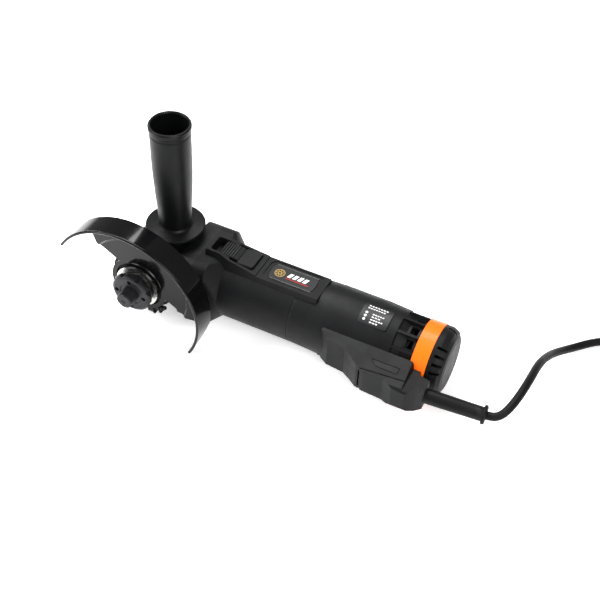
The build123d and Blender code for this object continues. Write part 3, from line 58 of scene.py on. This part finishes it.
# ------------------------------------------------------------------ materials
def material(name, base, rough, metallic=0.0, grain=(900.0, 0.1), tone=0.25, wear=None,
             coat=0.0, stretch=(1, 1, 1), spec=0.13, rough_spread=0.12):
    """Procedural finish: mottled colour, uneven roughness, fine grain, and rubbed edges."""
    made = bpy.data.materials.new(name)
    made.use_nodes = True
    tree = made.node_tree
    new = tree.nodes.new
    link = tree.links.new
    shader = tree.nodes["Principled BSDF"]
    shader.inputs["Metallic"].default_value = metallic
    shader.inputs["Coat Weight"].default_value = coat
    shader.inputs["Coat Roughness"].default_value = 0.06
    shader.inputs["Specular IOR Level"].default_value = spec
    place = new("ShaderNodeTexCoord")
    mapping = new("ShaderNodeMapping")
    mapping.inputs["Scale"].default_value = stretch
    link(place.outputs["Object"], mapping.inputs["Vector"])

    def noise(scale, detail):
        made_noise = new("ShaderNodeTexNoise")
        made_noise.inputs["Scale"].default_value = scale
        made_noise.inputs["Detail"].default_value = detail
        link(mapping.outputs["Vector"], made_noise.inputs["Vector"])
        return made_noise

    mottle = noise(38.0, 5)
    colour = new("ShaderNodeValToRGB")
    low, high = colour.color_ramp.elements
    low.position, high.position = 0.3, 0.72
    low.color = (*[c * (1 - tone) for c in base], 1)
    high.color = (*[min(1.0, c * (1 + tone)) for c in base], 1)
    link(mottle.outputs["Fac"], colour.inputs["Fac"])
    out = colour.outputs["Color"]
    if wear:
        geometry = new("ShaderNodeNewGeometry")
        edge = new("ShaderNodeValToRGB")
        edge.color_ramp.elements[0].position = wear[1]
        edge.color_ramp.elements[1].position = wear[1] + 0.08
        link(geometry.outputs["Pointiness"], edge.inputs["Fac"])
        patch = noise(160.0, 3)
        both = new("ShaderNodeMath")
        both.operation = "MULTIPLY"
        link(edge.outputs["Color"], both.inputs[0])
        link(patch.outputs["Fac"], both.inputs[1])
        mix = new("ShaderNodeMix")
        mix.data_type = "RGBA"
        link(both.outputs["Value"], mix.inputs["Factor"])
        link(out, mix.inputs["A"])
        mix.inputs["B"].default_value = (*wear[0], 1)
        out = mix.outputs["Result"]
    link(out, shader.inputs["Base Color"])
    smear = noise(90.0, 4)
    spread = new("ShaderNodeMapRange")
    spread.inputs["To Min"].default_value = max(0.03, rough - rough_spread)
    spread.inputs["To Max"].default_value = min(1.0, rough + rough_spread)
    link(smear.outputs["Fac"], spread.inputs["Value"])
    link(spread.outputs["Result"], shader.inputs["Roughness"])
    fine = noise(grain[0], 2)
    bump = new("ShaderNodeBump")
    bump.inputs["Strength"].default_value = grain[1]
    bump.inputs["Distance"].default_value = 0.0004
    link(fine.outputs["Fac"], bump.inputs["Height"])
    link(bump.outputs["Normal"], shader.inputs["Normal"])
    return made


finishes = {
    "cast_black": material("cast_black", (0.0042, 0.0044, 0.0048), 0.46, grain=(700, 0.35),
                           wear=((0.03, 0.03, 0.03), 0.57)),
    "gloss_black": material("gloss_black", (0.0024, 0.0024, 0.0027), 0.14, coat=0.16, grain=(260, 0.04),
                            rough_spread=0.05),
    "black_plastic": material("black_plastic", (0.0042, 0.0044, 0.0048), 0.5, grain=(1500, 0.3),
                              wear=((0.022, 0.022, 0.023), 0.57)),
    "satin_black": material("satin_black", (0.0034, 0.0036, 0.0039), 0.38, grain=(1200, 0.2),
                            wear=((0.02, 0.02, 0.02), 0.58)),
    "orange_plastic": material("orange_plastic", (0.96, 0.145, 0.006), 0.38, grain=(1500, 0.12), tone=0.06,
                               coat=0.08),
    "rubber": material("rubber", (0.0038, 0.0038, 0.004), 0.5, grain=(1100, 0.25)),
    "badge": material("badge", (0.007, 0.0072, 0.0078), 0.4, grain=(900, 0.05), spec=0.2),
    "zinc": material("zinc", (0.72, 0.71, 0.68), 0.24, metallic=1.0, grain=(500, 0.08), stretch=(1, 14, 1),
                     tone=0.1),
    "steel": material("steel", (0.5, 0.5, 0.51), 0.33, metallic=1.0, grain=(700, 0.12), tone=0.12),
    "gear_steel": material("gear_steel", (0.3, 0.3, 0.31), 0.36, metallic=1.0, grain=(900, 0.15)),
    "black_steel": material("black_steel", (0.03, 0.03, 0.032), 0.36, metallic=0.7, grain=(800, 0.2),
                            wear=((0.25, 0.25, 0.25), 0.57)),
    "bronze": material("bronze", (0.55, 0.33, 0.13), 0.35, metallic=1.0, grain=(800, 0.12)),
    "copper": material("copper", (0.62, 0.24, 0.1), 0.35, metallic=1.0, grain=(1600, 0.3),
                       stretch=(0.2, 1, 1)),
    "brass_pin": material("brass_pin", (0.7, 0.66, 0.58), 0.22, metallic=1.0, grain=(900, 0.06), tone=0.08),
    "grey_plastic": material("grey_plastic", (0.09, 0.09, 0.1), 0.5, grain=(1300, 0.2)),
    "carbon": material("carbon", (0.02, 0.02, 0.021), 0.6, grain=(1500, 0.4)),
}
slot_of = {part["node"]: part["material_slot"] for part in frame["record"]["subparts"]}
for name, node in nodes.items():
    node.data.materials.clear()
    node.data.materials.append(finishes["black_steel"] if name == "spindle" else finishes[slot_of[name]])

white_print = material("white_print", (0.72, 0.72, 0.72), 0.45, tone=0.08)
red_print = material("red_print", (0.5, 0.02, 0.015), 0.45, tone=0.1)
gold_print = material("gold_print", (0.34, 0.23, 0.07), 0.36, metallic=0.6, tone=0.25)
silver_line = material("silver_line", (0.16, 0.16, 0.16), 0.36, metallic=0.8, tone=0.1)


# ------------------------------------------------------------------ camera
AZIMUTH, ELEVATION, ROLL = radians(25.0), radians(45.2), radians(2.5)
AIM = Vector((55.2, 209.1, -175.1)) * MM
DISTANCE = 1.2
back = Vector((sin(AZIMUTH) * cos(ELEVATION), -cos(AZIMUTH) * cos(ELEVATION), sin(ELEVATION)))
level_right = Vector((cos(AZIMUTH), sin(AZIMUTH), 0))
level_up = back.cross(level_right)
right = level_right * cos(ROLL) + level_up * sin(ROLL)
up = back.cross(right)
camera_data = bpy.data.cameras.new("camera")
camera_data.sensor_width = 36
camera_data.lens = 67.98
camera = bpy.data.objects.new("camera", camera_data)
bpy.context.scene.collection.objects.link(camera)
facing = Matrix((right, up, back)).transposed().to_4x4()
camera.matrix_world = Matrix.Translation(AIM + back * DISTANCE) @ facing
bpy.context.scene.camera = camera


def add_object(name, mesh, body, slot, finish=None):
    made = bpy.data.objects.new(name, mesh)
    bpy.context.scene.collection.objects.link(made)
    mesh.materials.append(finish or finishes[slot])
    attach(made, body)
    return made


# ------------------------------------------------------------------ cord
RELIEF_AT = (243.0, 3.0, 0.0)
relief_turn = radians(4.5)
relief_long = 68 / cos(relief_turn)


def along_relief(distance):
    """Point on the strain relief's axis, in millimetres."""
    return (RELIEF_AT[0] + distance * cos(relief_turn), RELIEF_AT[1] + distance * sin(relief_turn), 0.0)


COIL_AT = (428.0, 144.0)
COIL_R = (30.3, 44.3)
COIL_LAYER = 6.9
CORD_LEVEL = -31.4
COIL_HEADING = radians(30.0)
PLUG_Y, PLUG_Z = 104.0, -22.0
coil_entry = (COIL_AT[0] - COIL_R[1] * sin(COIL_HEADING), COIL_AT[1] + COIL_R[1] * cos(COIL_HEADING))
cord_route = [
    along_relief(relief_long),
    along_relief(relief_long + 6.5),
    (323.8, 14.3, 3.6),
    (328.0, 29.0, 7.5),
    (330.0, 51.0, 7.5),
    (330.0, 81.0, -0.5),
    (333.5, 111.5, -18.0),
    (345.0, 138.5, CORD_LEVEL),
    (coil_entry[0] - 50.0 * cos(COIL_HEADING), coil_entry[1] - 50.0 * sin(COIL_HEADING), CORD_LEVEL),
    (coil_entry[0] - 26.0 * cos(COIL_HEADING), coil_entry[1] - 26.0 * sin(COIL_HEADING), CORD_LEVEL),
]
TURN_POINTS = 16
COIL_TURNS = 16 / 3          # from the entry heading round to the plug's side
RING_PITCH = (COIL_R[1] - COIL_R[0]) / 2


def stepped(turn, at, wide=0.22):
    """Smooth step from 0 to 1 around a given turn."""
    share = min(1.0, max(0.0, (turn - at) / wide + 0.5))
    return share * share * (3 - 2 * share)


def coil_points():
    """Clockwise rings: one layer steps inward on the floor, the next steps outward on top of it."""
    points = []
    start = radians(90) + COIL_HEADING
    steps = round(TURN_POINTS * COIL_TURNS)
    swell = 1 / cos(pi / TURN_POINTS)
    for n in range(steps + 1):
        turn = COIL_TURNS * n / steps
        angle = start - 2 * pi * turn
        rings_in = stepped(turn, 1.0) + stepped(turn, 2.0) - stepped(turn, 3.33) - stepped(turn, 4.33)
        radius = (COIL_R[1] - RING_PITCH * rings_in) * swell
        height = CORD_LEVEL + COIL_LAYER * stepped(turn, 2.67, 0.5)
        points.append((COIL_AT[0] + radius * cos(angle), COIL_AT[1] + radius * sin(angle), height))
    return points


turns = coil_points()
plug_x = COIL_AT[0] + COIL_R[1]
lead_to_plug = [(plug_x, 128.0, -23.6), (plug_x, 116.0, PLUG_Z), (plug_x, PLUG_Y - 1.0, PLUG_Z)]
cord_points = cord_route + turns + lead_to_plug


# ------------------------------------------------------------------ mesh helpers
def finish_mesh(name, mesh_bm, body, slot, finish=None, smooth=False):
    bmesh.ops.recalc_face_normals(mesh_bm, faces=mesh_bm.faces)
    mesh = bpy.data.meshes.new(name)
    mesh_bm.to_mesh(mesh)
    mesh_bm.free()
    for face in mesh.polygons:
        face.use_smooth = smooth
    return add_object(name, mesh, body, slot, finish)


def lathe(name, profile, origin, axis, body, slot, segments=64, finish=None):
    """Turned mesh: profile is (along, radius) in millimetres from the origin along the axis."""
    axis = Vector(axis).normalized()
    side = axis.orthogonal().normalized()
    other = axis.cross(side)
    mesh_bm = bmesh.new()
    rings = []
    for along, radius in profile:
        row = []
        for n in range(segments):
            turn = 2 * pi * n / segments
            out = side * cos(turn) + other * sin(turn)
            spot = Vector(origin) + axis * along + out * radius
            row.append(mesh_bm.verts.new(spot * MM))
        rings.append(row)
    for low_row, high_row in zip(rings, rings[1:]):
        for n in range(segments):
            m = (n + 1) % segments
            mesh_bm.faces.new((low_row[n], low_row[m], high_row[m], high_row[n]))
    mesh_bm.faces.new(reversed(rings[0]))
    mesh_bm.faces.new(rings[-1])
    return finish_mesh(name, mesh_bm, body, slot, finish, smooth=True)


def strip(name, sheet, body, slot, finish, thick=0.12, at=None):
    """Raised prints: each outline is a list of (u, v) pairs that `at` puts on the surface."""
    mesh_bm = bmesh.new()
    for outline in sheet:
        low = [mesh_bm.verts.new(Vector(at(u, v, 0.0)) * MM) for u, v in outline]
        high = [mesh_bm.verts.new(Vector(at(u, v, thick)) * MM) for u, v in outline]
        mesh_bm.faces.new(reversed(low))
        mesh_bm.faces.new(high)
        for n in range(len(outline)):
            m = (n + 1) % len(outline)
            mesh_bm.faces.new((low[n], low[m], high[m], high[n]))
    return finish_mesh(name, mesh_bm, body, slot, finish)


def bar(u, v, wide, high, slant=0.0):
    return [(u - wide / 2 - slant * high / 2, v - high / 2), (u + wide / 2 - slant * high / 2, v - high / 2),
            (u + wide / 2 + slant * high / 2, v + high / 2), (u - wide / 2 + slant * high / 2, v + high / 2)]


def annulus(u, v, inner, outer, start=0.0, sweep=2 * pi, count=18):
    """Ring as quadrilaterals."""
    out = []
    for n in range(count):
        a0, a1 = start + sweep * n / count, start + sweep * (n + 1) / count
        out.append([(u + inner * cos(a0), v + inner * sin(a0)), (u + outer * cos(a0), v + outer * sin(a0)),
                    (u + outer * cos(a1), v + outer * sin(a1)), (u + inner * cos(a1), v + inner * sin(a1))])
    return out


# ------------------------------------------------------------------ badge and rating plate
BADGE_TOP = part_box("name_badge")[1].z / MM


def on_badge(u, v, lift):
    return (u, MOTOR_Y / MM + v, BADGE_TOP + 0.02 + lift)


EMBLEM_X = 113.0
spokes = [bar(EMBLEM_X + 2.9 * cos(a), 2.9 * sin(a), 0.9, 0.9) for a in [pi * n / 4 for n in range(8)]]
emblem = annulus(EMBLEM_X, 0.0, 3.9, 4.5) + annulus(EMBLEM_X, 0.0, 1.2, 1.9, count=12) + spokes
strip("badge_emblem", emblem, "tool", "badge", gold_print, at=on_badge)
badge_bars = [bar(122.5 + 4.6 * n, 0.8, 3.0, 5.0, 0.35) for n in range(4)]
strip("badge_bars", badge_bars, "tool", "badge", white_print, at=on_badge)
strip("badge_line", [bar(130.0, -3.4, 21.0, 0.5)], "tool", "badge", red_print, at=on_badge)
edge = []
for u0, u1, v0, v1 in ((107.0, 145.0, -8.55, -8.3), (107.0, 145.0, 8.3, 8.55)):
    edge.append([(u0, v0), (u1, v0), (u1, v1), (u0, v1)])
strip("badge_edge", edge, "tool", "badge", silver_line, thick=0.05, at=on_badge)

PLATE_LEAN = radians(13.0)
PLATE_MID = 202.5
REAR_R = 31.0 + 0.42


def on_plate(u, v, lift):
    """The rating plate follows the round tail; v runs round it toward +Y."""
    angle = v / REAR_R - PLATE_LEAN
    radius = REAR_R + lift
    return (PLATE_MID + u, MOTOR_Y / MM + radius * sin(angle), radius * cos(angle))


rows = []
for n, wide in enumerate((17.0, 15.5, 0, 10.5, 8.0, 11.0, 7.5)):
    v = 7.6 - 2.45 * n
    if wide:
        pieces = max(3, round(wide / 2.3))
        start = -3.0 if n > 2 else -9.0
        for k in range(pieces):
            rows.append(bar(start + (k + 0.5) * wide / pieces, v, wide / pieces * 0.68, 0.95))
for n in range(3):
    v = 0.4 - 3.1 * n
    rows += annulus(-8.0, v, 0.75, 1.15, count=8)
    rows.append(bar(-8.0, v, 0.5, 1.6))
strip("plate_rows", rows, "tool", "badge", white_print, thick=0.06, at=on_plate)

# ------------------------------------------------------------------ spindle thread
THREAD_PITCH = 1.3
THREAD_START, THREAD_END = 11.25, 19.1
THREAD_ROOT_R, THREAD_CREST_R = 7.0, 7.16
thread = []
along = THREAD_START
while along < THREAD_END:
    thread += [(along, THREAD_ROOT_R), (along + 0.25, THREAD_CREST_R), (along + 0.55, THREAD_CREST_R),
               (along + 0.8, THREAD_ROOT_R), (along + 1.0, THREAD_ROOT_R - 0.005)]
    along += THREAD_PITCH
lathe("spindle_thread", thread, (0, 0, 0), (0, -1, 0), "output", "steel", finish=finishes["black_steel"])

# ------------------------------------------------------------------ cord guard, plug and tie
relief_dir = Vector((cos(relief_turn), sin(relief_turn), 0))
bead = relief_long - 3.4
relief_profile = [
    (0, 0.5), (0, 8.3), (0.4, 8.5), (3.6, 8.5), (4.0, 8.3), (4.0, 6.2), (19.5, 6.2), (30.0, 6.15),
    (45.0, 6.0), (58.0, 5.9), (bead, 5.9), (bead + 0.3, 6.4), (bead + 0.6, 7.6), (bead + 1.2, 7.9),
    (bead + 2.4, 7.9), (bead + 3.0, 7.5), (relief_long, 6.9), (relief_long, 4.4),
    (relief_long - 0.8, 3.7), (relief_long - 0.8, 0.5),
]
relief = lathe("cord_guard", relief_profile, RELIEF_AT, relief_dir, "tool", "rubber", segments=48)
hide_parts("strain_relief")


def superellipse(half_wide, half_high, power, count=40):
    out = []
    for n in range(count):
        turn = 2 * pi * n / count
        c, t = cos(turn), sin(turn)
        out.append((half_wide * abs(c) ** (2 / power) * (1 if c >= 0 else -1),
                    half_high * abs(t) ** (2 / power) * (1 if t >= 0 else -1)))
    return out


def lofted(name, stations, body, slot):
    """Sections along -Y from the plug's cord entry: (distance, half width, half height, power)."""
    mesh_bm = bmesh.new()
    rings = []
    for away, half_wide, half_high, power in stations:
        rings.append([mesh_bm.verts.new(Vector((plug_x + a, PLUG_Y - away, PLUG_Z + b)) * MM)
                      for a, b in superellipse(half_wide, half_high, power)])
    for one, two in zip(rings, rings[1:]):
        for n in range(len(one)):
            m = (n + 1) % len(one)
            mesh_bm.faces.new((one[n], one[m], two[m], two[n]))
    mesh_bm.faces.new(rings[0])
    mesh_bm.faces.new(rings[-1])
    return finish_mesh(name, mesh_bm, body, slot, smooth=True)


plug_stations = []
for n in range(5):
    away = 1.9 * n
    ridge, groove = 5.5 + 0.25 * n, 4.9 + 0.25 * n
    plug_stations += [(away + 0.2, ridge - 0.1, ridge - 0.1, 2), (away + 1.2, ridge, ridge, 2),
                      (away + 1.3, groove, groove, 2), (away + 1.9, groove, groove, 2)]
plug_stations += [
    (10.2, 7.2, 7.0, 2.1), (13.0, 11.5, 9.0, 2.3), (16.5, 15.4, 10.8, 2.5), (20.0, 16.8, 11.8, 2.7),
    (24.0, 16.6, 11.9, 2.8), (27.0, 15.9, 11.4, 2.8), (31.0, 16.2, 11.6, 2.9), (35.0, 17.6, 12.5, 3.0),
    (38.4, 17.9, 12.7, 3.1), (39.6, 17.5, 12.3, 3.1), (40.0, 16.8, 11.7, 3.1),
]
plug = lofted("plug_shell", plug_stations, "tool", "rubber")
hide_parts("plug_body")
plug_collar = lathe("plug_collar", [(-1.2, 3.6), (-1.2, 4.4), (0.2, 5.0), (0.8, 5.0), (0.8, 3.6)],
                    (plug_x, PLUG_Y, PLUG_Z), (0, -1, 0), "tool", "rubber", segments=32)


def tie_band():
    """Flat rubber tie round both layers on the far side of the coil."""
    mesh_bm = bmesh.new()
    mid_r = (COIL_R[0] + COIL_R[1]) / 2
    at = radians(75)
    out = Vector((cos(at), sin(at), 0))
    centre = Vector((*COIL_AT, CORD_LEVEL + COIL_LAYER / 2)) + out * mid_r
    along = Vector((-sin(at), cos(at), 0))
    rise = Vector((0, 0, 1))
    rings = []
    half_out = (COIL_R[1] - COIL_R[0]) / 2 + CORD_D / MM / 2 + 0.5
    half_up = COIL_LAYER / 2 + CORD_D / MM / 2 + 0.45
    for grow, shift in ((0, -3.4), (0.9, -3.0), (0.9, 3.0), (0, 3.4)):
        row = []
        for a, b in superellipse(half_out + grow, half_up + grow, 5, 48):
            spot = centre + along * shift + out * a + rise * max(b, -(half_up - 0.35))
            row.append(mesh_bm.verts.new(spot * MM))
        rings.append(row)
    for one, two in zip(rings, rings[1:] + rings[:1]):
        for n in range(len(one)):
            m = (n + 1) % len(one)
            mesh_bm.faces.new((one[n], one[m], two[m], two[n]))
    return finish_mesh("coil_tie", mesh_bm, "tool", "rubber")


coil_tie = tie_band()

cord_curve = bpy.data.curves.new("mains_cord", "CURVE")
cord_curve.dimensions = "3D"
spline = cord_curve.splines.new("NURBS")
spline.points.add(len(cord_points) - 1)
for spot, point in zip(spline.points, cord_points):
    spot.co = (*(c * MM for c in point), 1)
spline.order_u = 3
spline.use_endpoint_u = True
spline.resolution_u = 8
cord_curve.bevel_depth = CORD_D / 2
cord_curve.bevel_resolution = 4
cord_curve.use_fill_caps = True
cord = bpy.data.objects.new("mains_cord", cord_curve)
bpy.context.scene.collection.objects.link(cord)
cord_curve.materials.append(finishes["rubber"])
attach(cord, "tool")
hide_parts("cord_tube", "cord_coil")


# ------------------------------------------------------------------ stage and light
floor_mesh = bpy.data.meshes.new("floor")
bm = bmesh.new()
bmesh.ops.create_grid(bm, x_segments=8, y_segments=8, size=4)
bm.to_mesh(floor_mesh)
bm.free()
floor = bpy.data.objects.new("floor", floor_mesh)
floor.location = (0.15, 0.05, FLOOR_Z - 0.0003)
bpy.context.scene.collection.objects.link(floor)
floor_paint = material("floor_paint", (0.93, 0.93, 0.93), 0.8, tone=0.01, grain=(60, 0.02))
floor_shader = floor_paint.node_tree.nodes["Principled BSDF"]
floor_shader.inputs["Emission Color"].default_value = (1, 1, 1, 1)
floor_shader.inputs["Emission Strength"].default_value = 0.45
floor_mesh.materials.append(floor_paint)


def area_light(name, spot, target, size, power):
    data = bpy.data.lights.new(name, "AREA")
    data.shape = "RECTANGLE"
    data.size, data.size_y = size
    data.energy = power
    made = bpy.data.objects.new(name, data)
    made.location = spot
    made.rotation_mode = "QUATERNION"
    made.rotation_quaternion = (Vector(target) - Vector(spot)).to_track_quat("-Z", "Y")
    bpy.context.scene.collection.objects.link(made)


middle = (0.13, 0.04, 0.0)
area_light("key", (-0.25, 0.35, 1.1), middle, (0.9, 0.6), 24)
area_light("side", (-0.9, -0.6, 0.7), middle, (0.5, 0.9), 13)
area_light("fill", (1.0, -0.7, 0.9), middle, (0.8, 0.8), 15)
world = bpy.data.worlds.new("studio")
bpy.context.scene.world = world
world.use_nodes = True
world.node_tree.nodes["Background"].inputs["Color"].default_value = (1, 1, 1, 1)
world.node_tree.nodes["Background"].inputs["Strength"].default_value = 0.34
bpy.context.scene.view_settings.view_transform = "Standard"
